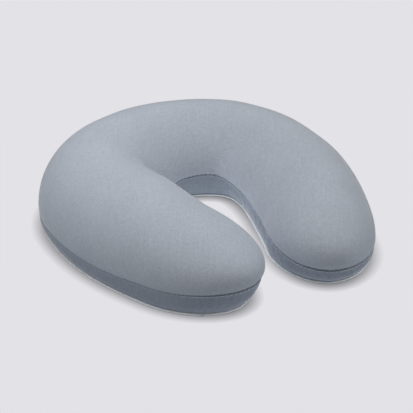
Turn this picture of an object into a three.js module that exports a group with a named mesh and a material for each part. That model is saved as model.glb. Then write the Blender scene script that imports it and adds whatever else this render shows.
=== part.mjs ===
// A U-shaped neck pillow lying on its flat base, in millimetres.
// X runs from arm to arm, +Y towards the closed back, +Z up from the surface that it rests on.
// The pillow is a sweep: upright half sections stand all round a spine that runs from arm to arm,
// and they fan round each end of it. Every piece is cut from the same half section.

import * as THREE from 'three';

// Cloth and sewing
const clothThickness = 2;
const pieceGap = 0.3;
const footRim = 1; // the base panel shows this far outside the band

// The spine: the first row is the middle of the closed back and the last is where the round arm end
// starts. A row lies this far along the spine from the one before, and the other arm mirrors them.
const rowSpacing = 64;

// turn: how far the spine bends on its way to the next row, in degrees
// halfOut, halfIn: distance from the spine out to the seam, on the outside and on the neck side
// crown: height of the top above the surface
// seamOut, seamIn: height of the seam
// tuckOut, tuckIn: how far the band draws in from the seam down to the base
const sections = [
  { place: 'back', turn: 33, halfOut: 55.5, halfIn: 56, crown: 84, seamOut: 14, seamIn: 28, tuckOut: 5.5, tuckIn: 14.5 },
  { place: 'shoulder', turn: 50.5, halfOut: 54, halfIn: 54, crown: 83.5, seamOut: 14.5, seamIn: 29, tuckOut: 5, tuckIn: 14 },
  { place: 'side', turn: 17, halfOut: 54, halfIn: 53.5, crown: 81, seamOut: 16.5, seamIn: 27.5, tuckOut: 4.5, tuckIn: 14.5 },
  { place: 'forearm', turn: 12.5, halfOut: 53.5, halfIn: 53.5, crown: 80.5, seamOut: 18.5, seamIn: 29.5, tuckOut: 3.5, tuckIn: 6.5 },
  { place: 'arm end', turn: 0, halfOut: 51.5, halfIn: 51.5, crown: 74, seamOut: 21.5, seamIn: 27.5, tuckOut: 2.5, tuckIn: 3 },
];

// Where the neck side isn't the same on both arms.
// row: how many rows from the middle of the back, with the left arm's counted down from 0
// reach: over how many rows it fades
// half, seam, tuck: what it adds to halfIn, seamIn and tuckIn
const eases = [
  { place: 'left shoulder', row: -0.5, reach: 0.45, half: 2.5, seam: -5, tuck: 2 },
  { place: 'left forearm', row: -3.3, reach: 0.7, half: -1.5, seam: 0, tuck: 0 },
  { place: 'right arm end', row: 4.15, reach: 0.5, half: -4, seam: 0, tuck: -3 },
];

// The round arm ends
const endReach = 1.61; // length of the round end, as a share of the half width there
const endFall = 0.175; // how steeply the top falls towards the arm's end, where the round end starts
const endSeam = 26;
const endTuck = 15;
const rightSeamDrop = 6.5; // the right arm's seam was sewn a little lower

// The crown's half section
const outerSwell = 1.8; // how far the crown swells past the seam
const innerSwell = 2.5;
const endSwell = 4;
const widestAboveSeam = 6;
const outerFullness = 2; // 2 makes the top an ellipse, less slopes its shoulders
const innerFullness = 1.65;
const endFullness = 2.6; // the same at the very end of each arm
const tuckCurve = 1.5; // above 1 the band turns under most near the base

// Facets
const stepsPerRow = 6;
const stepsRoundEnd = 14;
const crownSteps = 9;
const swellSteps = 2;
const bandSteps = 4;

const greyCloth = new THREE.MeshStandardMaterial({ color: 0x8f97a2, roughness: 0.92, metalness: 0 });
const greyBandCloth = new THREE.MeshStandardMaterial({ color: 0x7d8590, roughness: 0.94, metalness: 0 });
const paleCloth = new THREE.MeshStandardMaterial({ color: 0xb9bdc2, roughness: 0.95, metalness: 0 });

// A column of the table at a distance along the spine, smooth through its rows. It is level at the
// middle of the back, and leaves the last row with the slope that it is given.
function columnAt(column, rowsAlong, lastSlope = 0) {
  const last = sections.length - 1;
  const row = Math.min(Math.floor(rowsAlong), last - 1);
  const t = rowsAlong - row;
  const value = (index) => sections[index][column];
  const endSlopes = { 0: 0, [last]: lastSlope };
  const slope = (index) => endSlopes[index] ?? (value(index + 1) - value(index - 1)) / 2;
  const rise = value(row + 1) - value(row);
  const bend = 3 * rise - 2 * slope(row) - slope(row + 1);
  const twist = slope(row) + slope(row + 1) - 2 * rise;
  return value(row) + slope(row) * t + bend * t ** 2 + twist * t ** 3;
}

// The right arm's half of the spine, as a chain of arcs: where each step lies, which way it heads
// and what the table's sizes are there.
function spineStations() {
  const stations = [];
  const point = new THREE.Vector2(0, 0);
  let heading = 0;
  const rowCount = sections.length - 1;
  for (let step = 0; step <= rowCount * stepsPerRow; step += 1) {
    const rowsAlong = step / stepsPerRow;
    const along = new THREE.Vector2(Math.cos(heading), -Math.sin(heading));
    stations.push({
      foot: point.clone(),
      along,
      outward: new THREE.Vector2(-along.y, along.x),
      rowsAlong,
      share: rowsAlong / rowCount,
    });
    if (step < rowCount * stepsPerRow) {
      const row = Math.floor(rowsAlong);
      const turn = THREE.MathUtils.degToRad(sections[row].turn) / stepsPerRow;
      const middle = heading + turn / 2;
      const arc = rowSpacing / stepsPerRow;
      const chord = (arc * Math.sin(turn / 2)) / (turn / 2);
      point.x += chord * Math.cos(middle);
      point.y -= chord * Math.sin(middle);
      heading += turn;
    }
  }
  return stations;
}

// A size of the half section between its outside and its neck side column, with what the eases add.
// swing turns the half section from straight outward (0) round the arm end to the neck side (pi).
function sizeAt(size, rowsAlong, swing, side) {
  const outerShare = (1 + Math.cos(swing)) / 2;
  const neckShare = Math.max(0, -Math.cos(swing));
  const outer = columnAt(`${size}Out`, rowsAlong);
  const inner = columnAt(`${size}In`, rowsAlong);
  let value = THREE.MathUtils.lerp(inner, outer, outerShare);
  eases.forEach((ease) => {
    const away = (rowsAlong * side - ease.row) / ease.reach;
    value += ease[size] * Math.exp(-(away ** 2)) * neckShare;
  });
  return value;
}

// One half section: where it stands, which way it faces and its sizes.
function halfSection(station, swing, side) {
  const { rowsAlong, along } = station;
  const facing = station.outward.clone().multiplyScalar(Math.cos(swing));
  facing.addScaledVector(along, Math.sin(swing) * endReach);
  const stretch = facing.length();
  facing.divideScalar(stretch);
  const endShare = Math.sin(swing) ** 2;
  const outerShare = (1 + Math.cos(swing)) / 2;
  const swell = THREE.MathUtils.lerp(innerSwell, outerSwell, outerShare);
  const fullness = THREE.MathUtils.lerp(innerFullness, outerFullness, outerShare);
  const armShare = Math.max(0, 2 * station.share - 1);
  const drop = side > 0 ? rightSeamDrop * armShare : 0;
  return {
    foot: new THREE.Vector2(station.foot.x * side, station.foot.y),
    facing: new THREE.Vector2(facing.x * side, facing.y),
    seamDistance: sizeAt('half', rowsAlong, swing, side) * stretch,
    crown: columnAt('crown', rowsAlong, -endFall * rowSpacing),
    fall: endFall * facing.dot(along),
    seam: THREE.MathUtils.lerp(sizeAt('seam', rowsAlong, swing, side), endSeam, endShare) - drop,
    tuck: THREE.MathUtils.lerp(sizeAt('tuck', rowsAlong, swing, side), endTuck, endShare),
    swell: THREE.MathUtils.lerp(swell, endSwell, endShare),
    fullness: THREE.MathUtils.lerp(fullness, endFullness, endShare),
  };
}

// The half sections once round the pillow: outside from the left arm to the right, round its end,
// back along the neck side and round the left arm's end.
function sectionsAllRound() {
  const stations = spineStations();
  const armEnd = stations[stations.length - 1];
  const mirrored = stations.slice(1).reverse();
  const ends = [];
  for (let step = 1; step < stepsRoundEnd; step += 1) {
    ends.push((Math.PI * step) / stepsRoundEnd);
  }
  const ring = [];
  mirrored.forEach((station) => ring.push(halfSection(station, 0, -1)));
  stations.forEach((station) => ring.push(halfSection(station, 0, 1)));
  ends.forEach((swing) => ring.push(halfSection(armEnd, swing, 1)));
  [...stations].reverse().forEach((station) => ring.push(halfSection(station, Math.PI, 1)));
  stations.slice(1).forEach((station) => ring.push(halfSection(station, Math.PI, -1)));
  ends.reverse().forEach((swing) => ring.push(halfSection(armEnd, swing, -1)));

  // The origin is under the middle of the pillow, so the spine moves along Y to suit.
  const reach = ring.map((half) => half.foot.y + half.facing.y * (half.seamDistance + half.swell));
  const middle = (Math.max(...reach) + Math.min(...reach)) / 2;
  ring.forEach((half) => half.foot.setY(half.foot.y - middle));
  return ring;
}

// Distance of the band's outer face from the spine, at a height between the base and the seam.
function bandOffset(half, height) {
  const left = 1 - height / half.seam;
  return half.seamDistance - half.tuck * left ** tuckCurve;
}

// Profiles: points of [distance from the spine, height].
function bandHeights(half, from) {
  const heights = [];
  for (let step = 0; step <= bandSteps; step += 1) {
    heights.push(THREE.MathUtils.lerp(from, half.seam, step / bandSteps));
  }
  return heights;
}

function baseProfile(half) {
  const rim = bandOffset(half, clothThickness) + footRim;
  return [[0, 0], [rim, 0], [rim, clothThickness], [0, clothThickness]];
}

function bandProfile(half) {
  const heights = bandHeights(half, clothThickness + pieceGap);
  const outerFace = heights.map((height) => [bandOffset(half, height), height]);
  const innerFace = heights.map((height) => [bandOffset(half, height) - clothThickness, height]);
  return [...outerFace, ...innerFace.reverse()];
}

function cushionProfile(half) {
  const bottom = clothThickness + pieceGap;
  const recess = clothThickness + pieceGap;
  const ledge = half.seam + pieceGap;
  const points = [[0, bottom]];
  bandHeights(half, bottom).forEach((height) => points.push([bandOffset(half, height) - recess, height]));
  points.push([half.seamDistance - recess, ledge]);
  points.push([half.seamDistance, ledge]);
  const widest = half.seam + widestAboveSeam;
  for (let step = 1; step <= swellSteps; step += 1) {
    const t = step / swellSteps;
    const swell = half.swell * Math.sin((t * Math.PI) / 2);
    points.push([half.seamDistance + swell, THREE.MathUtils.lerp(ledge, widest, t)]);
  }
  for (let step = 1; step < crownSteps; step += 1) {
    const angle = ((step / crownSteps) * Math.PI) / 2;
    const out = Math.cos(angle) ** (2 / half.fullness);
    const up = Math.sin(angle) ** (2 / half.fullness);
    const distance = (half.seamDistance + half.swell) * out;
    points.push([distance, THREE.MathUtils.lerp(widest, half.crown - half.fall * distance, up)]);
  }
  points.push([0, half.crown]);
  return points;
}

// The solid that a profile leaves as it goes once round the ring. A closed profile makes a tube,
// and an open one starts and ends on the spine, where its two sides meet.
function sweep(ring, profileOf, closedProfile) {
  const positions = [];
  const indices = [];
  const profiles = ring.map(profileOf);
  const size = profiles[0].length;
  ring.forEach((half, place) => {
    profiles[place].forEach(([distance, height]) => {
      const point = half.foot.clone().addScaledVector(half.facing, distance);
      positions.push(point.x, point.y, height);
    });
  });
  const corner = (index) => new THREE.Vector3().fromArray(positions, index * 3);
  const addFace = (a, b, c) => {
    const isFlat = corner(a).equals(corner(b)) || corner(b).equals(corner(c)) || corner(c).equals(corner(a));
    if (!isFlat) {
      indices.push(a, b, c);
    }
  };
  const edges = closedProfile ? size : size - 1;
  for (let place = 0; place < ring.length; place += 1) {
    const here = place * size;
    const next = ((place + 1) % ring.length) * size;
    for (let edge = 0; edge < edges; edge += 1) {
      const after = (edge + 1) % size;
      const [distance, height] = profiles[place][edge];
      const [nextDistance, nextHeight] = profiles[place][after];
      // Two pieces that lie face to face are split along the same diagonal, so they keep their gap.
      if (nextHeight > height || (nextHeight === height && nextDistance > distance)) {
        addFace(here + edge, here + after, next + after);
        addFace(here + edge, next + after, next + edge);
      } else {
        addFace(here + edge, here + after, next + edge);
        addFace(here + after, next + after, next + edge);
      }
    }
  }
  const geometry = new THREE.BufferGeometry();
  geometry.setAttribute('position', new THREE.Float32BufferAttribute(positions, 3));
  geometry.setIndex(indices);
  geometry.computeVertexNormals();
  return geometry;
}

function namedPiece(name, geometry, material) {
  const mesh = new THREE.Mesh(geometry, material);
  mesh.name = name;
  return mesh;
}

const ring = sectionsAllRound();
const pillow = new THREE.Group();

// The filled cushion: its top panel and its filling, cut back all round to take the band
pillow.add(namedPiece('crown_cushion', sweep(ring, cushionProfile, false), greyCloth));

// The band sewn round the sides, from the seam under the crown down to the base
pillow.add(namedPiece('side_band', sweep(ring, bandProfile, true), greyBandCloth));

// The flat panel that closes the pillow underneath
pillow.add(namedPiece('base_panel', sweep(ring, baseProfile, false), paleCloth));

export default pillow;
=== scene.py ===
import math
import random
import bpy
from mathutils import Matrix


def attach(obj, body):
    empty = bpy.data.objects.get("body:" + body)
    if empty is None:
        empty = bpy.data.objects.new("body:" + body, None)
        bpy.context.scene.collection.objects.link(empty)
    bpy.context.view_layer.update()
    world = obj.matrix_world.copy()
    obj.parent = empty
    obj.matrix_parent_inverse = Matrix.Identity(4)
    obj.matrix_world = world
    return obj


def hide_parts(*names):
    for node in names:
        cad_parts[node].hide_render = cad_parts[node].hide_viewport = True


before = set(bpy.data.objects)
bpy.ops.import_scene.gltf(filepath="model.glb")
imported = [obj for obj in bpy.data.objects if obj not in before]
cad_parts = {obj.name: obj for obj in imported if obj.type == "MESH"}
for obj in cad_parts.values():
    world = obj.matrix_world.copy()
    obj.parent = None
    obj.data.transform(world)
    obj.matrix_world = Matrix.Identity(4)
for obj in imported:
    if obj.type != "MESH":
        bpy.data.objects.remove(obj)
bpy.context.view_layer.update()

from types import SimpleNamespace

import bpy
import numpy as np
from mathutils import Vector
from mathutils.kdtree import KDTree

# A U-shaped neck pillow: a filled crown of heathered knit, the band sewn round its sides and the
# pale base panel under it. Sizes are in millimetres until a mesh is made.
MM = 0.001

# The half sections, as in the part's source. The rows run from the middle of the closed back to
# the start of the arm end.
# turn: how far the spine bends on its way to the next row, in degrees
# half_out, half_in: distance from the spine out to the seam, on the outside and on the neck side
# crown: height of the top above the surface
# seam_out, seam_in: height of the seam
# tuck_out, tuck_in: how far the band draws in from the seam down to the base
ROW_SPACING = 64  # along the spine
COLUMNS = ("turn", "half_out", "half_in", "crown", "seam_out", "seam_in", "tuck_out", "tuck_in")
SECTIONS = {
    "back": (33, 55.5, 56, 84, 14, 28, 5.5, 14.5),
    "shoulder": (50.5, 54, 54, 83.5, 14.5, 29, 5, 14),
    "side": (17, 54, 53.5, 81, 16.5, 27.5, 4.5, 14.5),
    "forearm": (12.5, 53.5, 53.5, 80.5, 18.5, 29.5, 3.5, 6.5),
    "arm end": (0, 51.5, 51.5, 74, 21.5, 27.5, 2.5, 3),
}

# Where the neck side isn't the same on both arms: how many rows from the middle of the back, with
# the left arm's counted down from 0, over how many rows, and what that adds to half_in, seam_in
# and tuck_in and to the crown's swell and fullness on that side
EASES = {
    "left shoulder": SimpleNamespace(
        row=-0.5, reach=0.45, half=2.5, seam=-5, tuck=2, swell=0, fullness=0
    ),
    "left side": SimpleNamespace(
        row=-3.1, reach=1.2, half=0, seam=0, tuck=0, swell=1, fullness=1
    ),
    "left forearm": SimpleNamespace(
        row=-3.3, reach=0.7, half=-1.5, seam=0, tuck=0, swell=0, fullness=0
    ),
    "right arm end": SimpleNamespace(
        row=4.15, reach=0.5, half=-4, seam=0, tuck=-3, swell=0, fullness=0
    ),
}

# The outside seam was sewn a little lower along one stretch of the left arm
LOW_STRETCH = SimpleNamespace(row=-3.45, reach=0.55, drop=2)

# The round arm ends
END_REACH = 1.61  # how far they reach past the last row, against the half width there
END_FALL = 0.175  # how steeply the crown falls on its way there
END_SEAM = 26  # height of the seam at the tip
END_TUCK = 15  # how far the band draws in at the tip
RIGHT_SEAM_DROP = 6.5  # how much lower the seam was sewn round the right arm's end

# The crown's half section. On the outside the seam is let out, so that the crown hardly swells
# past it.
SEAM_LET_OUT = 1.2
OUTER_SWELL = 0.6  # how far the crown swells past the seam
INNER_SWELL = 2.5
END_SWELL = 4
OUTER_WIDEST = 6  # how far above the seam the crown is widest
INNER_WIDEST = 6
END_WIDEST = 9
OUTER_FULLNESS = 2.0  # 2 gives a quarter of an ellipse, less is slacker and more is fuller
INNER_FULLNESS = 1.65
END_FULLNESS = 2.6
TUCK_CURVE = 1.5  # 1 draws the band in evenly, more draws it in late, close to the base

# Cloth and sewing
CLOTH = 2
GAP = 0.3
FOOT_RIM = 1.2  # how far the base panel stands out past the band
RIM_TURN = 0.75  # radius of the base panel's turned edge
RIM_UNDERCUT = 1.0  # how far the panel's underside starts inside that edge
SEAM_DEPTH = 0.4  # how far both edges turn in at the seam
TIP_SEAM_DEPTH = 1.2  # the same round the arm ends and on the neck side
CROWN_ROLL = 1.0  # height over which the crown's edge turns in
CROWN_ROLL_TURN = math.radians(60)  # how far it turns over
LIP_ROLL = 1.3  # the height over which the band's top edge turns in
LIP_ROLL_START = math.radians(15)  # where that edge starts to turn over
LIP_BELOW_SEAM = 0.1
LIP_REACH = 3.2  # how far down from the seam the lip stands out
LIP = 0.1  # how far the band's top edge stands out under the seam
TIP_LIP = 1.3  # the same round the arm ends
BAND_BULGE = 1.1  # how far the band bellies out at half its height
BAND_FOOT = SimpleNamespace(turned_in=0.3, reach=1.2)  # how the band's foot turns in

# The stitches along the seam
STITCH_SEED = 31
STITCH_PITCH = 4.2
STITCH_LENGTH = 2.0
STITCH_UNEVEN = (0.8, 1.2)  # shortest and longest, as shares of that
STITCH_SLANT = (-0.1, 0.25)
STITCH_PULL = 0.85  # how much deeper the seam is where a stitch pulls it in, and shallower between
STITCH_SINK = 0.3  # how far the thread sinks in, as a share of the seam's depth
STITCH_PROUD = 0.1
STITCH_BELOW_SEAM = 0.35  # as a share of the lip's height
STITCHES_SHOW = 0.3  # how near to the neck side or the arm end they start to show, from 0 to 1
THREAD_RADIUS = 0.3
THREAD_TAPER = 0.85

# The cut end of a thread at the foot: its middle, the height there, how much it falls at each step
# along the rim, and how far it lies past the rim at each step
LOOSE_END = (-83, -145.5)
LOOSE_END_TOP = 1.2
LOOSE_END_FALL = 0.15
LOOSE_END_BOWS = {-2: -0.4, -1: 0.2, 0: 0.5, 1: 0.7, 2: 0.8}
LOOSE_END_STRIDE = 2  # half sections from one step to the next

# The small folds that the sewing leaves: how far apart they are, how deep and wide each is, how far
# it leans for every millimetre away from the seam, how far it reaches, and where it sets in
OUTSIDE_FOLDS = 0.2  # how deep they are on the outside, against 1 on the neck side
CROWN_FOLDS = SimpleNamespace(
    seed=11,
    apart=(5, 15),
    depth=(0.15, 0.5),
    width=(1.6, 3.2),
    lean=(-0.5, 0.5),
    reach=8,
    start=(0, 2.5),
)
BAND_FOLDS = SimpleNamespace(
    seed=23,
    apart=(4, 13),
    depth=(0.2, 0.7),
    width=(1.5, 3.4),
    lean=(-0.9, 0.5),
    reach=16,
    start=(0.4, 2.5),
)
STRAINED_FOLDS = SimpleNamespace(
    seed=41,
    apart=(3.5, 7),
    depth=(0.5, 0.95),
    width=(1.2, 1.8),
    lean=(1.1, 1.7),
    reach=18,
    start=(0.4, 2.5),
)

# The stretch of the right arm's neck side where the band is strained, in rows
STRAINED = SimpleNamespace(row=1.9, reach=0.9)

# Soft waves that the filling leaves in the crown
UNEVEN_SEED = 5
UNEVEN_WAVES = 9
UNEVEN_LENGTH = (38, 85)
UNEVEN_HEIGHT = 0.22
UNEVEN_START = (8, 40)  # how far above the seam they begin and are full

# The filling, blown up as a cloth balloon
BALLOON_VOXEL = 5
FILLING_PRESSURE = 4
FILLING_FRAMES = 20
MOST_PUSH = 1.6  # the furthest that the filling may push the crown
HELD_ABOVE_SEAM = 4  # up to here the crown is held
FREE_ABOVE_SEAM = 16  # from here up it is free to swell
PUSH_NEIGHBOURS = 12

# Facets, as points or steps along each stretch of a half section and round the pillow
STEPS_PER_ROW = 72
STEPS_ROUND_END = 200
CROWN_SIDE_POINTS = 4
CROWN_SEAM_POINT = CROWN_SIDE_POINTS + 1  # counted from the middle of the hidden underside
CROWN_ROLL_POINTS = 7
CROWN_SWELL_STEPS = 6
CROWN_STEPS = 42
BAND_POINTS = 16
LIP_POINTS = 6
RIM_POINTS = 9
BASE_STEPS = 7
THREAD_POINTS = 5
THREAD_SIDES = 6
WELD_GRID = 1000  # places for each millimetre, to tell which points fall together

# Colours, as linear light: the dark and the light fibres of each cloth
CROWN_DARK = (0.298, 0.330, 0.378)
CROWN_LIGHT = (0.472, 0.520, 0.586)
BAND_DARK = (0.185, 0.213, 0.261)
BAND_LIGHT = (0.311, 0.354, 0.420)
BASE_DARK = (0.72, 0.78, 0.83)
BASE_LIGHT = (0.92, 0.96, 0.99)
THREAD_DARK = (0.42, 0.48, 0.54)
THREAD_LIGHT = (0.66, 0.72, 0.78)

# The mixed fibres of the knit: the size of each kind of spot, and how much it lightens and darkens
# the cloth
FIBRE_SPOT = 1.5
FIBRE_CONTRAST = 0.95
FLECK_SPOT = 4.5
FLECK_CONTRAST = 0.4
NAP_SPOT = 0.5
NAP_CONTRAST = 0.2
STREAK_WIDTH = 1.6
STREAK_STRETCH = 0.06  # their width as a share of their length
STREAK_CONTRAST = 0.3
BLOTCH_SPOT = 40
BLOTCH_CONTRAST = 0.25
LOOP_CONTRAST = 0.25
# Painted light on the band, laid over its fibres
LIP_PAINTED_HIGHLIGHT = 0.9  # a painted highlight: how much lighter the band's rolled edge is
LIP_SPARED = 0.5  # how much less so where a stitch pulls it in
FOOT_PAINTED_LIGHT = 0.35  # painted light thrown back from the floor: how much lighter the band's foot is
FOOT_FADE = 7

# The knit's loops, with how much of the relief is theirs and the nap's
KNIT_ROUGHNESS = (0.84, 0.98)  # from where the nap lies flat to where it stands up
KNIT_DEPTH = 0.1
LOOP_RELIEF = 0.7
NAP_RELIEF = 0.6
CROWN_GRAIN = math.radians(28)
WALE = 0.9  # width of a loop
COURSE = 0.7  # length of a loop

# The base panel's weave and the thread's twist
WEAVE_PITCH = 0.8
WEAVE_TONE = 0.4
WEAVE_CONTRAST = 0.3
WEAVE_FIBRE_CONTRAST = 0.8
WEAVE_ROUGHNESS = (0.8, 0.95)
WEAVE_DEPTH = 0.1
TWIST_SPOT = 0.5
TWIST_DEPTH = 0.05

# The studio
FLOOR_HALF = 4
FLOOR_COLOUR = (0.767, 0.761, 0.799)
# The floor's painted shadow: its colour, how far it reaches and how sharply it fades
FLOOR_SHADE_COLOUR = (0.03, 0.03, 0.032)
FLOOR_SHADE_REACH = 13
FLOOR_SHADE_POWER = 1.15
SKY_STRENGTH = 0.5  # straight above, fading to nothing level with the floor
SKY_COLOUR = (1.12, 1, 0.9)
BOUNCE_STRENGTH = 0.85  # the same from the pale floor below
BOUNCE_COLOUR = (0.97, 1, 1.06)
CAMERA_AZIMUTH = math.radians(-28.44)
CAMERA_ELEVATION = math.radians(26.78)
CAMERA_DISTANCE = 1.521
CAMERA_TARGET = Vector((-0.0063, -0.0131, 0.030))
CAMERA_LENS = 139.4
CAMERA_SENSOR = 36

# Soft lamps, by how far round from the camera and how high they stand, in degrees. The low one
# stands for light that the pale floor throws back.
SUNS = {
    "front": SimpleNamespace(azimuth=0, elevation=40, strength=0.12, spread=80),
    "right": SimpleNamespace(azimuth=90, elevation=30, strength=1.2, spread=80),
    "left low": SimpleNamespace(azimuth=-80, elevation=-30, strength=0.4, spread=60),
}
SUN_COLOUR = (0.965, 1, 1.04)

# A softbox close by on the left, so that the left arm is lit the most
SOFTBOX = SimpleNamespace(azimuth=-84, elevation=63, away=0.8, side=0.8, power=4.1)

# A small round lamp under the neck opening, as the pale floor there throws light back
NECK_LAMP = SimpleNamespace(place=(-0.005, 0.0, -0.02), radius=0.01, power=0.045)


def lerp(first, second, share):
    return first + (second - first) * share


def eased(low, high, value):
    """0 below low, 1 above high and smooth between them."""
    share = np.clip((value - low) / (high - low), 0, 1)
    return share * share * (3 - 2 * share)


def column_at(name, rows_along, last_slope=0.0):
    """A column of the table along the spine, smooth through its rows and level at the back."""
    values = np.array([row[COLUMNS.index(name)] for row in SECTIONS.values()], float)
    slopes = np.gradient(values)
    slopes[0] = 0
    slopes[-1] = last_slope
    row = np.minimum(rows_along.astype(int), len(values) - 2)
    t = rows_along - row
    rise = values[row + 1] - values[row]
    bend = 3 * rise - 2 * slopes[row] - slopes[row + 1]
    twist = slopes[row] + slopes[row + 1] - 2 * rise
    return values[row] + slopes[row] * t + bend * t**2 + twist * t**3


def spine_stations():
    """The right arm's half of the spine, as a chain of arcs from the middle of the back."""
    turns = np.radians([row[0] for row in list(SECTIONS.values())[:-1]])
    step_turns = np.repeat(turns / STEPS_PER_ROW, STEPS_PER_ROW)
    headings = np.concatenate([[0], np.cumsum(step_turns)])
    middles = headings[:-1] + step_turns / 2
    chords = ROW_SPACING / STEPS_PER_ROW * np.sin(step_turns / 2) / (step_turns / 2)
    steps = np.stack([chords * np.cos(middles), -chords * np.sin(middles)], axis=1)
    rows_along = np.arange(len(headings)) / STEPS_PER_ROW
    return SimpleNamespace(
        rows_along=rows_along,
        foot=np.concatenate([[[0, 0]], np.cumsum(steps, axis=0)]),
        along=np.stack([np.cos(headings), -np.sin(headings)], axis=1),
        share=rows_along / rows_along[-1],
    )


def half_sections():
    """The half sections once round the pillow: outside from the left arm to the right, round its
    end, back along the neck side and round the left arm's end."""
    spine = spine_stations()
    last = len(spine.share) - 1
    down = list(range(last, 0, -1))
    round_end = [math.pi * step / STEPS_ROUND_END for step in range(1, STEPS_ROUND_END)]
    places = [(station, 0.0, -1) for station in down]
    places += [(station, 0.0, 1) for station in range(last + 1)]
    places += [(last, swing, 1) for swing in round_end]
    places += [(station, math.pi, 1) for station in range(last, -1, -1)]
    places += [(station, math.pi, -1) for station in range(1, last + 1)]
    places += [(last, swing, -1) for swing in reversed(round_end)]
    station, swing, side = (np.array(column) for column in zip(*places))

    along = spine.along[station]
    outward = np.stack([-along[:, 1], along[:, 0]], axis=1)
    facing = outward * np.cos(swing)[:, None] + along * (np.sin(swing) * END_REACH)[:, None]
    stretch = np.linalg.norm(facing, axis=1)
    facing = facing / stretch[:, None]
    mirror = np.stack([side, np.ones_like(side)], axis=1)
    rows_along = spine.rows_along[station]
    share = spine.share[station]
    end_share = np.sin(swing) ** 2
    outer_share = (1 + np.cos(swing)) / 2
    outside = np.maximum(0, np.cos(swing))
    neck_side = np.maximum(0, -np.cos(swing))

    def nearness(place):
        """1 in the row that an ease or a stretch is centred on, fading away from it."""
        return np.exp(-(((rows_along * side - place.row) / place.reach) ** 2))

    let_out = SEAM_LET_OUT * outside**2
    drop = RIGHT_SEAM_DROP * np.maximum(0, 2 * share - 1) * (side > 0)
    drop = drop + LOW_STRETCH.drop * nearness(LOW_STRETCH) * outside

    def added(name):
        """What the eases add to one of their sizes."""
        return sum(vars(ease)[name] * nearness(ease) * neck_side for ease in EASES.values())

    def mixed(name):
        """A size between its outside and its neck side column, with what the eases add to it."""
        inner = column_at(name + "_in", rows_along)
        outer = column_at(name + "_out", rows_along)
        return lerp(inner, outer, outer_share) + added(name)

    ring = SimpleNamespace(
        foot=spine.foot[station] * mirror,
        facing=facing * mirror,
        rows_along=rows_along,
        side=side,
        neck_share=1 - outer_share,
        end_share=end_share,
        seam_distance=mixed("half") * stretch + let_out,
        seam_depth=lerp(TIP_SEAM_DEPTH, SEAM_DEPTH, outer_share * (1 - end_share)),
        crown=column_at("crown", rows_along, -END_FALL * ROW_SPACING),
        fall=END_FALL * np.sum(facing * along, axis=1),
        seam=lerp(mixed("seam"), END_SEAM, end_share) - drop,
        tuck=lerp(mixed("tuck"), END_TUCK, end_share) + let_out,
        lip=lerp(LIP, TIP_LIP, end_share),
        widest_above=lerp(lerp(INNER_WIDEST, OUTER_WIDEST, outer_share), END_WIDEST, end_share),
        swell=lerp(lerp(INNER_SWELL, OUTER_SWELL, outer_share), END_SWELL, end_share)
        + added("swell"),
        fullness=lerp(lerp(INNER_FULLNESS, OUTER_FULLNESS, outer_share), END_FULLNESS, end_share)
        + added("fullness"),
    )
    reach = ring.foot[:, 1] + ring.facing[:, 1] * (ring.seam_distance + ring.swell)
    ring.foot[:, 1] -= (reach.max() + reach.min()) / 2
    return ring


def stitch_seam(ring):
    """Measures where each half section meets the seam, and lets the stitches pull the seam in."""
    seam_line = ring.foot + ring.facing * ring.seam_distance[:, None]
    pieces = np.linalg.norm(np.roll(seam_line, -1, axis=0) - seam_line, axis=1)
    ring.along_seam = np.concatenate([[0], np.cumsum(pieces)[:-1]])
    ring.seam_length = pieces.sum()
    ring.stitches = round(ring.seam_length / STITCH_PITCH)
    ring.pull = np.cos(2 * math.pi * ring.stitches * ring.along_seam / ring.seam_length)
    ring.seam_depth = ring.seam_depth * (1 + STITCH_PULL * ring.pull)


def band_offset(ring, height):
    """Distance of the band's outer face from the spine, at heights from the base to the seam."""
    left = np.clip(1 - height / ring.seam[:, None], 0, 1)
    return ring.seam_distance[:, None] - ring.tuck[:, None] * left**TUCK_CURVE


def crown_profile(ring):
    """The filled crown's half section, as distances from the spine and heights, from the middle
    of its hidden underside out to the seam and over the top to the spine again."""
    seam_distance = ring.seam_distance[:, None]
    seam = ring.seam[:, None]
    under = CLOTH + GAP
    level = np.linspace(0, 1, CROWN_SIDE_POINTS)[None, :]
    side_height = lerp(under, seam - LIP_ROLL, level)
    side_distance = band_offset(ring, side_height) - CLOTH - GAP

    turn = np.linspace(0, CROWN_ROLL_TURN, CROWN_ROLL_POINTS)[None, :]
    rolled_in = 1 - np.sin(turn) / math.sin(CROWN_ROLL_TURN)
    rolled_up = (1 - np.cos(turn)) / (1 - math.cos(CROWN_ROLL_TURN))
    roll_distance = seam_distance - ring.seam_depth[:, None] * rolled_in
    roll_height = seam + GAP + CROWN_ROLL * rolled_up

    rise = np.linspace(0, 1, CROWN_SWELL_STEPS + 1)[None, 1:]
    widest = seam + ring.widest_above[:, None]
    swell_distance = seam_distance + ring.swell[:, None] * np.sin(rise * math.pi / 2)
    swell_height = lerp(seam + GAP + CROWN_ROLL, widest, rise)

    angle = np.linspace(0, math.pi / 2, CROWN_STEPS + 1)[None, 1:]
    power = 2 / ring.fullness[:, None]
    crown_distance = (seam_distance + ring.swell[:, None]) * np.maximum(np.cos(angle), 0) ** power
    crown_distance[:, -1] = 0
    top = ring.crown[:, None] - ring.fall[:, None] * crown_distance
    crown_height = lerp(widest, top, np.sin(angle) ** power)

    middle = np.zeros_like(seam)
    distance = np.hstack([middle, side_distance, roll_distance, swell_distance, crown_distance])
    height = np.hstack([middle + under, side_height, roll_height, swell_height, crown_height])
    return distance, height


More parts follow.
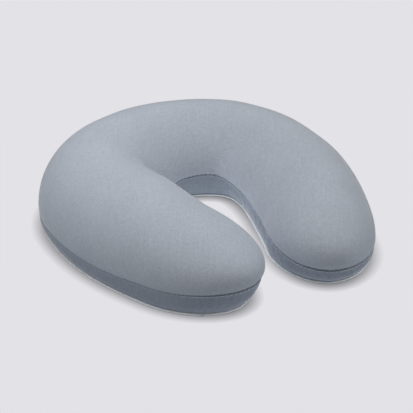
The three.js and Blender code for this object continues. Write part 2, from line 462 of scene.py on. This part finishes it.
def band_profile(ring):
    """The band's closed half section: up its outer face, over the rolled lip and down inside."""
    seam = ring.seam[:, None]
    low = CLOTH + GAP
    top = seam - LIP_ROLL
    level = np.linspace(0, 1, BAND_POINTS)[None, :]
    height = lerp(low, top, level)
    lip = ring.lip[:, None] * np.exp(-(((seam - height) / LIP_REACH) ** 2))
    turned_in = BAND_FOOT.turned_in * np.exp(-(((height - low) / BAND_FOOT.reach) ** 2))
    bulge = BAND_BULGE * np.sin(level * math.pi)
    face = band_offset(ring, height) + lip + bulge - turned_in

    turn = np.linspace(LIP_ROLL_START, math.pi / 2, LIP_POINTS)[None, :]
    lip_distance = face[:, -1:] - ring.seam_depth[:, None] * (1 - np.cos(turn))
    lip_height = top + (LIP_ROLL - LIP_BELOW_SEAM) * np.sin(turn)
    outer = np.hstack([face, lip_distance])
    heights = np.hstack([height, lip_height])
    inner = np.minimum(outer, face[:, -1:]) - CLOTH
    return np.hstack([outer, inner[:, ::-1]]), np.hstack([heights, heights[:, ::-1]])


def base_profile(ring):
    """The base panel's half section, with a rounded rim that stands clear of the surface."""
    rim = band_offset(ring, np.full_like(ring.seam[:, None], CLOTH)) + FOOT_RIM
    turn = np.radians(np.linspace(-90, 90, RIM_POINTS))[None, :]
    edge_distance = rim - RIM_TURN * (1 - np.cos(turn))
    edge_height = CLOTH - RIM_TURN * (1 - np.sin(turn)) + 0 * rim
    under = np.array([[0, 0.5, 1]])
    under_distance = rim - RIM_TURN - RIM_UNDERCUT * (1 - under**2)
    under_height = (CLOTH - 2 * RIM_TURN) * under + 0 * rim
    across = np.linspace(0, 1, BASE_STEPS + 1)[None, :-1]
    low_across = across * (rim - RIM_TURN - RIM_UNDERCUT)
    high_across = across[:, ::-1] * (rim - RIM_TURN)
    distance = np.hstack([low_across, under_distance[:, :-1], edge_distance, high_across])
    height = np.hstack([0 * low_across, under_height[:, :-1], edge_height, CLOTH + 0 * high_across])
    return distance, height


def folds_along(ring, kind):
    """Small folds that the sewing leaves in the cloth, once round the seam: where each meets the
    seam, how deep and wide it is and how far it leans."""
    maker = random.Random(kind.seed)
    folds = []
    place = maker.uniform(*kind.apart)
    while place < ring.seam_length:
        sizes = [maker.uniform(*size) for size in (kind.depth, kind.width, kind.lean)]
        folds.append((place, *sizes))
        place += maker.uniform(*kind.apart)
    return folds


def folded_in(ring, away, kind):
    """How far folds of this kind press the cloth in, at these distances away from the seam."""
    pressed = np.zeros_like(away)
    for place, depth, width, lean in folds_along(ring, kind):
        along = ring.along_seam[:, None] - place - lean * away
        along = (along + ring.seam_length / 2) % ring.seam_length - ring.seam_length / 2
        pressed += depth * np.exp(-((along / width) ** 2))
    return pressed * np.exp(-((away / kind.reach) ** 2)) * eased(*kind.start, away)


def profile_normals(distance, height):
    """Outward directions of a half section's points, in its own upright plane."""
    out = np.gradient(height, axis=1)
    up = -np.gradient(distance, axis=1)
    length = np.maximum(np.hypot(out, up), 1e-9)
    return out / length, up / length


def uneven_filling(points):
    """The filling's soft unevenness, as heights over the crown: a few crossed waves."""
    maker = random.Random(UNEVEN_SEED)
    total = np.zeros(points.shape[:-1])
    for _ in range(UNEVEN_WAVES):
        length = maker.uniform(*UNEVEN_LENGTH)
        heading = maker.uniform(0, 2 * math.pi)
        start = maker.uniform(0, 2 * math.pi)
        run = points[..., 0] * math.cos(heading) + points[..., 1] * math.sin(heading)
        total += np.sin(2 * math.pi * run / length + start)
    return UNEVEN_HEIGHT * total / math.sqrt(UNEVEN_WAVES)


def placed(ring, distance, height):
    """Points in space from each half section's distances and heights."""
    flat = ring.foot[:, None, :] + ring.facing[:, None, :] * distance[:, :, None]
    return np.concatenate([flat, height[:, :, None]], axis=2)


def swept_mesh(name, points, pattern, closed_profile=False):
    """An object whose faces join each half section to the next. Points that fall together on the
    spine are welded. The cloth's own flat coordinates go with it, for the weave."""
    count, size = points.shape[:2]
    flat_points = points.reshape(-1, 3)
    _, first, welded = np.unique(
        np.round(flat_points * WELD_GRID).astype(int),
        axis=0,
        return_index=True,
        return_inverse=True,
    )
    welded = welded.reshape(count, size)
    faces = []
    edges = size if closed_profile else size - 1
    for place in range(count):
        here = welded[place]
        after = welded[(place + 1) % count]
        for edge in range(edges):
            up = (edge + 1) % size
            corners = [here[edge], here[up], after[up], after[edge]]
            kept = [corner for i, corner in enumerate(corners) if corner != corners[i - 1]]
            if len(kept) > 2:
                faces.append([int(corner) for corner in kept])
    mesh = bpy.data.meshes.new(name)
    mesh.from_pydata((flat_points[first] * MM).tolist(), [], faces)
    cloth = mesh.attributes.new("cloth", "FLOAT_VECTOR", "POINT")
    cloth.data.foreach_set("vector", (pattern.reshape(-1, 3)[first] * MM).ravel())
    mesh.shade_smooth()
    mesh.update()
    piece = bpy.data.objects.new(name, mesh)
    bpy.context.scene.collection.objects.link(piece)
    return piece


def lengths_from_crest(distance, height):
    """How far each point of the profile lies from its last one, measured along the cloth."""
    steps = np.hypot(np.diff(distance, axis=1), np.diff(height, axis=1))
    from_crest = np.cumsum(steps[:, ::-1], axis=1)[:, ::-1]
    return np.hstack([from_crest, np.zeros((len(distance), 1))])


def coordinates(mesh):
    """A mesh's points as rows of x, y and z."""
    flat = np.empty(len(mesh.vertices) * 3)
    mesh.vertices.foreach_get("co", flat)
    return flat.reshape(-1, 3)


def height_over_seam(points, seam_line):
    """How far points lie above the nearest place on the seam, all in metres."""
    tree = KDTree(len(seam_line))
    for place, (x, y, _) in enumerate(seam_line):
        tree.insert((x, y, 0), place)
    tree.balance()
    return np.array([z - seam_line[tree.find((x, y, 0))[1]][2] for x, y, z in points])


def blown_up(cover, seam_line):
    """A coarse, even copy of the cover, blown up as cloth by the filling's pressure while it is
    held along the seam and below: where its points start and how far each is pushed."""
    scene = bpy.context.scene
    balloon = cover.copy()
    balloon.data = cover.data.copy()
    scene.collection.objects.link(balloon)
    coarse = balloon.modifiers.new("even mesh", "REMESH")
    coarse.mode = "VOXEL"
    coarse.voxel_size = BALLOON_VOXEL * MM
    evaluated = balloon.evaluated_get(bpy.context.evaluated_depsgraph_get())
    even_mesh = bpy.data.meshes.new_from_object(evaluated)
    balloon.modifiers.clear()
    balloon.data = even_mesh
    start = coordinates(even_mesh)

    over_seam = height_over_seam(start, seam_line)
    held = balloon.vertex_groups.new(name="held at the seam")
    held.add(np.nonzero(over_seam < HELD_ABOVE_SEAM * MM)[0].tolist(), 1, "REPLACE")
    cloth = balloon.modifiers.new("filling", "CLOTH").settings
    cloth.vertex_group_mass = held.name
    cloth.use_pressure = True
    cloth.uniform_pressure_force = FILLING_PRESSURE
    cloth.effector_weights.gravity = 0
    for moment in range(1, FILLING_FRAMES + 1):
        scene.frame_set(moment)
    evaluated = balloon.evaluated_get(bpy.context.evaluated_depsgraph_get())
    push = coordinates(evaluated.to_mesh()) - start
    evaluated.to_mesh_clear()
    scene.frame_set(1)
    bpy.data.objects.remove(balloon)
    return start, push


def fill_out(cover, seam_line):
    """Moves the cover's points as the nearest points of the blown up copy were pushed, up to the
    furthest that is allowed."""
    start, push = blown_up(cover, seam_line)
    length = np.linalg.norm(push, axis=1, keepdims=True)
    push *= np.minimum(1, MOST_PUSH * MM / np.maximum(length, 1e-9))
    tree = KDTree(len(start))
    for place, point in enumerate(start):
        tree.insert(point, place)
    tree.balance()
    points = coordinates(cover.data)
    over_seam = height_over_seam(points, seam_line)
    free = eased(HELD_ABOVE_SEAM * MM, FREE_ABOVE_SEAM * MM, over_seam)
    for place in np.nonzero(free > 0)[0]:
        nearest = tree.find_n(points[place], PUSH_NEIGHBOURS)
        away = np.array([distance for _, _, distance in nearest])
        weights = np.exp(-((away / (BALLOON_VOXEL * MM)) ** 2))
        around = push[[index for _, index, _ in nearest]]
        points[place] += free[place] * (weights @ around) / weights.sum()
    cover.data.vertices.foreach_set("co", points.ravel())
    cover.data.update()


def thread_bits(name, paths, radius):
    """Short bits of thread, each a round bar along its path that thins at both ends."""
    corners = []
    faces = []
    for path in paths:
        path = np.array(path)
        run = np.gradient(path, axis=0)
        run /= np.linalg.norm(run, axis=1, keepdims=True)
        beside = np.cross(run, (0, 0, 1))
        beside /= np.linalg.norm(beside, axis=1, keepdims=True)
        upward = np.cross(beside, run)
        along = np.linspace(-1, 1, len(path))
        thickness = radius * np.sqrt(1 - THREAD_TAPER * along**4)
        first = len(corners)
        for step in range(len(path)):
            for side in range(THREAD_SIDES):
                turn = 2 * math.pi * side / THREAD_SIDES
                out = beside[step] * math.cos(turn) + upward[step] * math.sin(turn)
                corners.append(path[step] + out * thickness[step])
        for step in range(len(path) - 1):
            for side in range(THREAD_SIDES):
                here = first + step * THREAD_SIDES + side
                beyond = first + step * THREAD_SIDES + (side + 1) % THREAD_SIDES
                faces.append((here, beyond, beyond + THREAD_SIDES, here + THREAD_SIDES))
        faces.append([first + side for side in reversed(range(THREAD_SIDES))])
        last = first + (len(path) - 1) * THREAD_SIDES
        faces.append([last + side for side in range(THREAD_SIDES)])
    mesh = bpy.data.meshes.new(name)
    mesh.from_pydata((np.array(corners) * MM).tolist(), [], faces)
    mesh.shade_smooth()
    mesh.update()
    thread = bpy.data.objects.new(name, mesh)
    bpy.context.scene.collection.objects.link(thread)
    return thread


ring = half_sections()
stitch_seam(ring)
seam_points = placed(ring, ring.seam_distance[:, None], ring.seam[:, None])[:, 0]
near_neck_or_end = np.maximum(ring.neck_share, ring.end_share)
pulled = lerp(OUTSIDE_FOLDS, 1, near_neck_or_end)[:, None]

# The crown: the half section with its small folds above the seam, the filling's soft unevenness
# and the push of the filling
crown_distance, crown_height = crown_profile(ring)
from_crest = lengths_from_crest(crown_distance, crown_height)
above_seam = np.maximum(from_crest[:, CROWN_SEAM_POINT, None] - from_crest, 0)
pressed = folded_in(ring, above_seam, CROWN_FOLDS) * pulled
out, up = profile_normals(crown_distance, crown_height)
crown_points = placed(ring, crown_distance - out * pressed, crown_height - up * pressed)
crown_points[..., 2] += uneven_filling(crown_points) * eased(*UNEVEN_START, above_seam)
crown_pattern = placed(ring, from_crest, 0 * crown_height)
crown = swept_mesh("crown_cover", crown_points, crown_pattern)
fill_out(crown, seam_points * MM)

# The band: a strip of the same knit, puckered most on the neck side, with its foot turned in. The
# third of its flat coordinates carries painted light: a painted highlight along its rolled edge and
# painted light from the floor at its foot.
band_distance, band_height = band_profile(ring)
below_seam = np.maximum(ring.seam[:, None] - band_height, 0)
from_strained = (ring.rows_along - STRAINED.row) / STRAINED.reach
strained = (ring.neck_share * (ring.side > 0) * np.exp(-(from_strained**2)))[:, None]
pressed = folded_in(ring, below_seam, BAND_FOLDS) * pulled
pressed += folded_in(ring, below_seam, STRAINED_FOLDS) * strained
band_points = placed(ring, band_distance - pressed, band_height)
# Painted highlight along the rolled edge, weaker where a stitch pulls it in, and painted light at
# the foot
spared = 1 - LIP_SPARED * ring.pull[:, None]
painted_light = LIP_PAINTED_HIGHLIGHT * spared * pulled * np.exp(-((below_seam / LIP_ROLL) ** 2))
painted_light += FOOT_PAINTED_LIGHT * np.exp(-((band_height / FOOT_FADE) ** 2))
along_band = ring.along_seam[:, None] + 0 * band_height
band_pattern = np.stack([along_band, band_height, painted_light], axis=2)
band = swept_mesh("band_strip", band_points, band_pattern, closed_profile=True)

# The base panel, of which only the rim shows
base_distance, base_height = base_profile(ring)
base_points = placed(ring, base_distance, base_height)
base = swept_mesh("base_cloth", base_points, base_points)

# The stitches show on the band's rolled edge, round the arm ends and on the neck side
lip_distance = ring.seam_distance + ring.lip - STITCH_SINK * ring.seam_depth + STITCH_PROUD
lip_height = ring.seam - STITCH_BELOW_SEAM * LIP_ROLL
lip_line = placed(ring, lip_distance[:, None], lip_height[:, None])[:, 0]
lip_line = np.vstack([lip_line, lip_line[:1]])
lip_places = np.append(ring.along_seam, ring.seam_length)
stitch_shows = near_neck_or_end > STITCHES_SHOW


def on_lip(place):
    """The point of the lip at this distance along the seam."""
    around = place % ring.seam_length
    return [np.interp(around, lip_places, lip_line[:, axis]) for axis in range(3)]


maker = random.Random(STITCH_SEED)
threads = []
for stitch in range(ring.stitches):
    middle = stitch * ring.seam_length / ring.stitches
    half = STITCH_LENGTH / 2 * maker.uniform(*STITCH_UNEVEN)
    slant = maker.uniform(*STITCH_SLANT)
    section = np.searchsorted(ring.along_seam, middle) % len(stitch_shows)
    if stitch_shows[section]:
        threads.append([
            np.add(on_lip(middle + share * half), (0, 0, share * slant))
            for share in np.linspace(-1, 1, THREAD_POINTS)
        ])

# The cut end of a thread lies at the foot of the left arm
foot_height = np.full_like(ring.seam[:, None], CLOTH)
rim_line = placed(ring, band_offset(ring, foot_height) + FOOT_RIM, 0 * foot_height)[:, 0]
nearest = int(np.argmin(np.linalg.norm(rim_line[:, :2] - LOOSE_END, axis=1)))
outward = np.append(ring.facing[nearest], 0)
threads.append([
    rim_line[nearest + step * LOOSE_END_STRIDE]
    + (0, 0, LOOSE_END_TOP - LOOSE_END_FALL * step)
    + outward * bow
    for step, bow in LOOSE_END_BOWS.items()
])
thread = thread_bits("seam_thread", threads, THREAD_RADIUS)


class Link:
    """What a node gives. Python's own operators make Math nodes of it."""

    def __init__(self, finish, socket):
        self.finish = finish
        self.socket = socket

    def math(self, operation, *values):
        return self.finish.node("ShaderNodeMath", {"operation": operation}, dict(enumerate(values)))

    def __add__(self, other):
        return self.math("ADD", self, other)

    def __sub__(self, other):
        return self.math("SUBTRACT", self, other)

    def __rsub__(self, other):
        return self.math("SUBTRACT", other, self)

    def __mul__(self, other):
        return self.math("MULTIPLY", self, other)

    def __truediv__(self, other):
        return self.math("DIVIDE", self, other)

    def __pow__(self, other):
        return self.math("POWER", self, other)

    def __abs__(self):
        return self.math("ABSOLUTE", self)

    def fraction(self):
        return self.math("FRACT", self)

    __radd__ = __add__
    __rmul__ = __mul__


class Finish:
    """A material, the nodes behind it and the shader that they feed."""

    def __init__(self, name, **settings):
        self.material = bpy.data.materials.new(name)
        self.material.use_nodes = True
        self.tree = self.material.node_tree
        self.shader = self.tree.nodes["Principled BSDF"]
        for setting, value in settings.items():
            socket = setting.replace("_", " ").title().replace("Ior", "IOR")
            self.shader.inputs[socket].default_value = value

    def node(self, kind, settings, sockets, output=0):
        node = self.tree.nodes.new(kind)
        for setting, value in settings.items():
            setattr(node, setting, value)
        for socket, value in sockets.items():
            self.feed(node.inputs[socket], value)
        return Link(self, node.outputs[output])

    def feed(self, socket, value):
        if isinstance(value, Link):
            self.tree.links.new(value.socket, socket)
        else:
            socket.default_value = value

    def noise(self, place, size, detail=0.0):
        """Soft random spots of about this size in millimetres, from 0 to 1."""
        sockets = {"Vector": place, "Scale": 1 / (size * MM), "Detail": detail}
        return self.node("ShaderNodeTexNoise", {}, sockets)

    def mix(self, share, first, second):
        """A colour between two others."""
        sockets = {0: share, 6: (*first, 1), 7: (*second, 1)}
        return self.node("ShaderNodeMix", {"data_type": "RGBA"}, sockets, 2)

    def bump(self, height, depth):
        """Feeds the shader's normal with a relief of this depth in millimetres."""
        sockets = {"Strength": 1, "Distance": depth * MM, "Height": height}
        self.feed(self.shader.inputs["Normal"], self.node("ShaderNodeBump", {}, sockets))

    def flat_place(self):
        """The cloth's own flat coordinates."""
        return self.node("ShaderNodeAttribute", {"attribute_name": "cloth"}, {}, "Vector")

    def axis(self, place, name):
        """One of a place's X, Y and Z."""
        return self.node("ShaderNodeSeparateXYZ", {}, {"Vector": place}, name)


def knit_cloth(name, dark, light, grain):
    """A fine, softly napped jersey of mixed dark and light fibres, lightened where its third flat
    coordinate carries painted light. grain turns its ribs.
    """
    finish = Finish(
        name, specular_ior_level=0.15, sheen_weight=0.6, sheen_roughness=0.22, roughness=0.9
    )
    cloth = finish.node(
        "ShaderNodeVectorRotate",
        {"rotation_type": "Z_AXIS"},
        {"Vector": finish.flat_place(), "Angle": grain},
    )
    stretched = finish.node(
        "ShaderNodeVectorMath", {"operation": "MULTIPLY"}, {0: cloth, 1: (1, STREAK_STRETCH, 1)}
    )
    # The painted highlight and painted light that the third flat coordinate carries; none on the
    # crown
    painted_light = finish.axis(cloth, "Z") / MM
    from_rib = abs((finish.axis(cloth, "X") / (WALE * MM)).fraction() - 0.5)
    in_loop = abs((finish.axis(cloth, "Y") / (COURSE * MM) + from_rib).fraction() - 0.5)
    loops = 1 - from_rib - in_loop
    nap = finish.noise(cloth, NAP_SPOT, 1)

    tone = (
        0.5
        + (finish.noise(cloth, FIBRE_SPOT, 1) - 0.5) * FIBRE_CONTRAST
        + (nap - 0.5) * NAP_CONTRAST
        + (finish.noise(stretched, STREAK_WIDTH, 1) - 0.5) * STREAK_CONTRAST
        + (finish.noise(cloth, FLECK_SPOT, 1) - 0.5) * FLECK_CONTRAST
        + (finish.noise(cloth, BLOTCH_SPOT, 1) - 0.5) * BLOTCH_CONTRAST
        + (loops - 0.5) * LOOP_CONTRAST
        + painted_light
    )
    finish.feed(finish.shader.inputs["Base Color"], finish.mix(tone, dark, light))
    finish.feed(finish.shader.inputs["Roughness"], lerp(*KNIT_ROUGHNESS, nap))
    finish.bump(loops * LOOP_RELIEF + nap * NAP_RELIEF, KNIT_DEPTH)
    return finish.material


def woven_cloth(name, dark, light):
    """The plain weave of the base panel."""
    finish = Finish(
        name, specular_ior_level=0.2, sheen_weight=0.5, sheen_roughness=0.4, roughness=0.85
    )
    cloth = finish.flat_place()
    warp = 1 - 2 * abs((finish.axis(cloth, "X") / (WEAVE_PITCH * MM)).fraction() - 0.5)
    weft = 1 - 2 * abs((finish.axis(cloth, "Y") / (WEAVE_PITCH * MM)).fraction() - 0.5)
    threads = warp * weft
    fibres = finish.noise(cloth, FIBRE_SPOT, 2)
    tone = WEAVE_TONE + (fibres - 0.5) * WEAVE_FIBRE_CONTRAST + threads * WEAVE_CONTRAST
    finish.feed(finish.shader.inputs["Base Color"], finish.mix(tone, dark, light))
    finish.feed(finish.shader.inputs["Roughness"], lerp(*WEAVE_ROUGHNESS, fibres))
    finish.bump(threads + fibres, WEAVE_DEPTH)
    return finish.material


def twisted_thread(name, dark, light):
    """Sewing thread, with its strands as soft spots."""
    finish = Finish(name, specular_ior_level=0.3, sheen_weight=0.1, roughness=0.7)
    place = finish.node("ShaderNodeTexCoord", {}, {}, "Object")
    strands = finish.noise(place, TWIST_SPOT, 1)
    finish.feed(finish.shader.inputs["Base Color"], finish.mix(strands, dark, light))
    finish.bump(strands, TWIST_DEPTH)
    return finish.material


finishes = (
    (crown, knit_cloth("heathered crown knit", CROWN_DARK, CROWN_LIGHT, CROWN_GRAIN)),
    (band, knit_cloth("heathered band knit", BAND_DARK, BAND_LIGHT, 0)),
    (base, woven_cloth("pale base cloth", BASE_DARK, BASE_LIGHT)),
    (thread, twisted_thread("seam thread", THREAD_DARK, THREAD_LIGHT)),
)
for piece, material in finishes:
    piece.data.materials.append(material)

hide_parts("crown_cushion")

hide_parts("side_band")

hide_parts("base_panel")

for piece in (crown, band, base, thread):
    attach(piece, "root")


def studio_floor():
    """A pale floor that glows evenly, with a painted shadow that darkens it only close to what
    stands on it.
    """
    finish = Finish(
        "studio floor", base_color=(0, 0, 0, 1), specular_ior_level=0, emission_strength=1
    )
    nearby = finish.node(
        "ShaderNodeAmbientOcclusion", {"samples": 16}, {"Distance": FLOOR_SHADE_REACH * MM}, "AO"
    )
    # Painted shadow: the glow darkens where something stands close by
    shade = finish.mix((1 - nearby) ** FLOOR_SHADE_POWER, FLOOR_COLOUR, FLOOR_SHADE_COLOUR)
    finish.feed(finish.shader.inputs["Emission Color"], shade)
    return finish.material


floor_mesh = bpy.data.meshes.new("floor")
floor_corners = ((-1, -1), (1, -1), (1, 1), (-1, 1))
floor_mesh.from_pydata(
    [(x * FLOOR_HALF, y * FLOOR_HALF, 0) for x, y in floor_corners], [], [(0, 1, 2, 3)]
)
floor = bpy.data.objects.new("floor", floor_mesh)
bpy.context.scene.collection.objects.link(floor)
floor_mesh.materials.append(studio_floor())
floor.visible_diffuse = False
floor.visible_glossy = False
floor.visible_shadow = False


def studio_sky():
    """Soft light from all round: some from above, and more that the pale floor throws back."""
    world = bpy.data.worlds.new("studio")
    world.use_nodes = True
    nodes = world.node_tree.nodes
    links = world.node_tree.links
    way_out = nodes.new("ShaderNodeTexCoord")
    parts = nodes.new("ShaderNodeSeparateXYZ")
    links.new(way_out.outputs["Generated"], parts.inputs["Vector"])
    both = nodes.new("ShaderNodeAddShader")
    halves = (
        (1, SKY_STRENGTH, SKY_COLOUR, nodes["Background"]),
        (-1, BOUNCE_STRENGTH, BOUNCE_COLOUR, nodes.new("ShaderNodeBackground")),
    )
    for slot, (upright, strength, colour, half) in enumerate(halves):
        ramp = nodes.new("ShaderNodeMapRange")
        ramp.inputs["From Max"].default_value = upright
        ramp.inputs["To Max"].default_value = strength
        links.new(parts.outputs["Z"], ramp.inputs["Value"])
        links.new(ramp.outputs["Result"], half.inputs["Strength"])
        half.inputs["Color"].default_value = (*colour, 1)
        links.new(half.outputs["Background"], both.inputs[slot])
    links.new(both.outputs["Shader"], nodes["World Output"].inputs["Surface"])
    return world


bpy.context.scene.world = studio_sky()
bpy.context.scene.view_settings.view_transform = "Standard"


def direction(azimuth, elevation):
    """The way out towards this azimuth and elevation, from the front of the pillow."""
    return Vector((
        math.sin(azimuth) * math.cos(elevation),
        -math.cos(azimuth) * math.cos(elevation),
        math.sin(elevation),
    ))


def studio_light(name, kind, place):
    """A lamp that shines from this azimuth and elevation, and the direction towards it."""
    data = bpy.data.lights.new(name, kind)
    data.color = SUN_COLOUR
    lamp = bpy.data.objects.new(name, data)
    bpy.context.scene.collection.objects.link(lamp)
    towards = direction(CAMERA_AZIMUTH + math.radians(place.azimuth), math.radians(place.elevation))
    lamp.rotation_euler = towards.to_track_quat("Z", "Y").to_euler()
    return lamp, towards


for light_name, light in SUNS.items():
    sun, _ = studio_light(light_name, "SUN", light)
    sun.data.energy = light.strength
    sun.data.angle = math.radians(light.spread)

softbox, towards_softbox = studio_light("left softbox", "AREA", SOFTBOX)
softbox.location = towards_softbox * SOFTBOX.away
softbox.data.size = SOFTBOX.side
softbox.data.energy = SOFTBOX.power
softbox.visible_camera = False

neck_data = bpy.data.lights.new("neck lamp", "POINT")
neck_data.shadow_soft_size = NECK_LAMP.radius
neck_data.energy = NECK_LAMP.power
neck_lamp = bpy.data.objects.new("neck lamp", neck_data)
neck_lamp.location = NECK_LAMP.place
neck_lamp.visible_camera = False
bpy.context.scene.collection.objects.link(neck_lamp)

camera_data = bpy.data.cameras.new("camera")
camera_data.lens = CAMERA_LENS
camera_data.sensor_width = CAMERA_SENSOR
camera = bpy.data.objects.new("camera", camera_data)
bpy.context.scene.collection.objects.link(camera)
back = direction(CAMERA_AZIMUTH, CAMERA_ELEVATION)
camera.location = CAMERA_TARGET + back * CAMERA_DISTANCE
camera.rotation_euler = (-back).to_track_quat("-Z", "Y").to_euler()
bpy.context.scene.camera = camera
